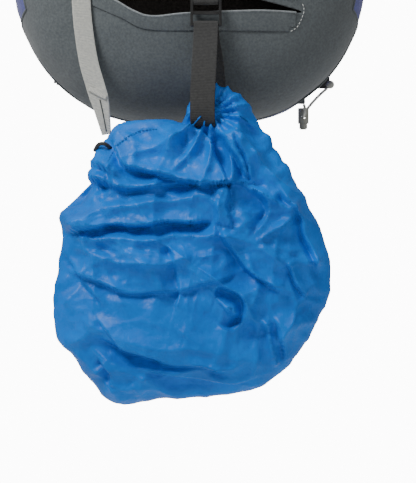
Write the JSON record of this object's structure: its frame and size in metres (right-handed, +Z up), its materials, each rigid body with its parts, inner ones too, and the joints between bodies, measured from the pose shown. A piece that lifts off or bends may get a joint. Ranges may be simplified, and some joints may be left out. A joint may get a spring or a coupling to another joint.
{
  "type": "ski_backpack",
  "caption": "Ski touring backpack in charcoal and purple, hanging by its haul loop, its blue rain cover drawn out of the lower pocket on a black webbing tether",
  "frame": {"origin": "highest point inside the haul loop, where a hook bears", "axes": "+Z up as it hangs, -Y is the front of the pack with the pocket, +Y is the wearer's back, +X is the viewer's right from the front"},
  "size_m": [0.376, 0.3382, 0.8656],
  "materials": {
    "charcoal_softshell": "matt woven polyester softshell, fine heathered grain",
    "purple_ripstop": "matt ripstop nylon with a small square grid",
    "grey_lining": "plain woven polyester lining",
    "black_spacer_mesh": "open knitted spacer mesh over foam",
    "black_webbing": "ribbed polyester webbing",
    "grey_webbing": "light grey polyester webbing and cord",
    "black_acetal": "moulded acetal, satin",
    "grey_acetal": "moulded acetal, satin",
    "lime_cord": "lime cord with a moulded grip",
    "blue_coated_nylon": "thin coated nylon, slightly glossy, crumpled",
    "white_hdpe": "polyethylene sheet",
    "aluminium_stay": "brushed flat bar",
    "spring_steel": "drawn spring wire"
  },
  "bodies": {
    "pack": {"main_bag": "grey_lining", "lower_front_panel": "charcoal_softshell", "pocket_band": "charcoal_softshell", "front_yoke": "charcoal_softshell", "back_panel": "charcoal_softshell", "base_panel": "purple_ripstop", "top_panel": "charcoal_softshell", "side_panel_left": "purple_ripstop", "side_panel_right": "purple_ripstop", "zip_tape_bag": "black_acetal", "haul_loop": "black_webbing", "frame_sheet": "white_hdpe", "frame_stay": "aluminium_stay", "hydration_sleeve": "grey_lining", "lumbar_pad": "black_spacer_mesh", "strap_yoke": "black_webbing", "back_pad_left": "black_spacer_mesh", "back_pad_right": "black_spacer_mesh", "lower_anchor_left": "black_webbing", "lower_anchor_right": "black_webbing", "side_strap_left": "grey_webbing", "side_strap_right": "grey_webbing", "side_buckle_left": "black_acetal", "side_buckle_right": "black_acetal", "tether_anchor": "black_webbing", "shock_cord": "grey_webbing", "cord_tab": "black_webbing", "cord_lock_body": "grey_acetal", "cord_lock_spring": "spring_steel", "cord_end_ball": "grey_acetal"},
    "flap": {"front_flap": "charcoal_softshell", "zip_tape_flap": "black_acetal"},
    "ski_strap": {"ski_strap": "grey_webbing"},
    "tether_lock": {"tether_lock": "black_acetal"},
    "cover": {"rain_cover": "blue_coated_nylon", "cover_hem": "black_webbing", "tether_webbing": "black_webbing"},
    "plunger": {"cord_lock_plunger": "grey_acetal"},
    "slider_left": {"zip_slider_left": "black_acetal"},
    "puller_left": {"zip_puller_left": "lime_cord"},
    "hip_left": {"hip_wing_left": "black_spacer_mesh", "hip_webbing_left": "black_webbing", "hip_buckle_left": "black_acetal"},
    "strap_left": {"shoulder_pad_left": "black_spacer_mesh", "shoulder_ladder_left": "black_acetal", "shoulder_webbing_left": "black_webbing"},
    "clip_left": {"sternum_clip_left": "grey_acetal"},
    "sternum_left": {"sternum_webbing_left": "black_webbing", "sternum_buckle_left": "black_acetal"},
    "slider_right": {"zip_slider_right": "black_acetal"},
    "puller_right": {"zip_puller_right": "lime_cord"},
    "hip_right": {"hip_wing_right": "black_spacer_mesh", "hip_webbing_right": "black_webbing", "hip_buckle_right": "black_acetal"},
    "strap_right": {"shoulder_pad_right": "black_spacer_mesh", "shoulder_ladder_right": "black_acetal", "shoulder_webbing_right": "black_webbing"},
    "clip_right": {"sternum_clip_right": "grey_acetal"},
    "sternum_right": {"sternum_webbing_right": "black_webbing", "sternum_buckle_right": "black_acetal"}
  },
  "joints": [
    {"name": "flap_hinge", "type": "hinge", "parent": "pack", "child": "flap", "pos_m": [0, -0.165, -0.4], "axis": [1, 0, 0], "range_deg": [0, 95]},
    {"name": "ski_strap_swing", "type": "hinge", "parent": "pack", "child": "ski_strap", "pos_m": [-0.11, -0.1562, -0.409], "axis": [-1, 0, 0], "range_deg": [0, 45]},
    {"name": "tether_lock_swing", "type": "hinge", "parent": "pack", "child": "tether_lock", "pos_m": [0.017, -0.1755, -0.4635], "axis": [-1, 0, 0], "range_deg": [0, 20]},
    {"name": "cover_swing", "type": "hinge", "parent": "tether_lock", "child": "cover", "pos_m": [0.017, -0.1755, -0.4865], "axis": [-1, 0, 0], "range_deg": [0, 35]},
    {"name": "plunger_press", "type": "slide", "parent": "pack", "child": "plunger", "axis": [0, 0, 1], "range_m": [0, 0.002], "stiffness_N_per_m": 300, "deforming": ["cord_lock_spring"]},
    {"name": "zip_slide_left", "type": "slide", "parent": "pack", "child": "slider_left", "axis": [0, 0.0317, 0.9995], "range_m": [0, 0.17]},
    {"name": "puller_swing_left", "type": "hinge", "parent": "slider_left", "child": "puller_left", "pos_m": [-0.1225, -0.16212, -0.3649], "axis": [-1, 0, 0], "range_deg": [0, 80]},
    {"name": "hip_wing_slide_left", "type": "slide", "parent": "pack", "child": "hip_left", "axis": [-1, 0, 0], "range_m": [0, 0.085]},
    {"name": "shoulder_swing_left", "type": "hinge", "parent": "pack", "child": "strap_left", "pos_m": [-0.052, 0.042, -0.09], "axis": [0.2231, 0.0192, 0.9746], "range_deg": [-15, 25]},
    {"name": "clip_slide_left", "type": "slide", "parent": "strap_left", "child": "clip_left", "axis": [0.2147, -0.2683, 0.9391], "range_m": [-0.012, 0.006]},
    {"name": "sternum_swing_left", "type": "hinge", "parent": "clip_left", "child": "sternum_left", "pos_m": [-0.0732, 0.11381, -0.19597], "axis": [0, -1, 0], "range_deg": [0, 90]},
    {"name": "zip_slide_right", "type": "slide", "parent": "pack", "child": "slider_right", "axis": [0, 0.0317, 0.9995], "range_m": [0, 0.17]},
    {"name": "puller_swing_right", "type": "hinge", "parent": "slider_right", "child": "puller_right", "pos_m": [0.1225, -0.16212, -0.3649], "axis": [-1, 0, 0], "range_deg": [0, 80]},
    {"name": "hip_wing_slide_right", "type": "slide", "parent": "pack", "child": "hip_right", "axis": [1, 0, 0], "range_m": [0, 0.085]},
    {"name": "shoulder_swing_right", "type": "hinge", "parent": "pack", "child": "strap_right", "pos_m": [0.052, 0.042, -0.09], "axis": [0.2231, -0.0192, -0.9746], "range_deg": [-15, 25]},
    {"name": "clip_slide_right", "type": "slide", "parent": "strap_right", "child": "clip_right", "axis": [-0.2147, -0.2683, 0.9391], "range_m": [-0.012, 0.006]},
    {"name": "sternum_swing_right", "type": "hinge", "parent": "clip_right", "child": "sternum_right", "pos_m": [0.0732, 0.11381, -0.19597], "axis": [0, 1, 0], "range_deg": [0, 90]}
  ]
}
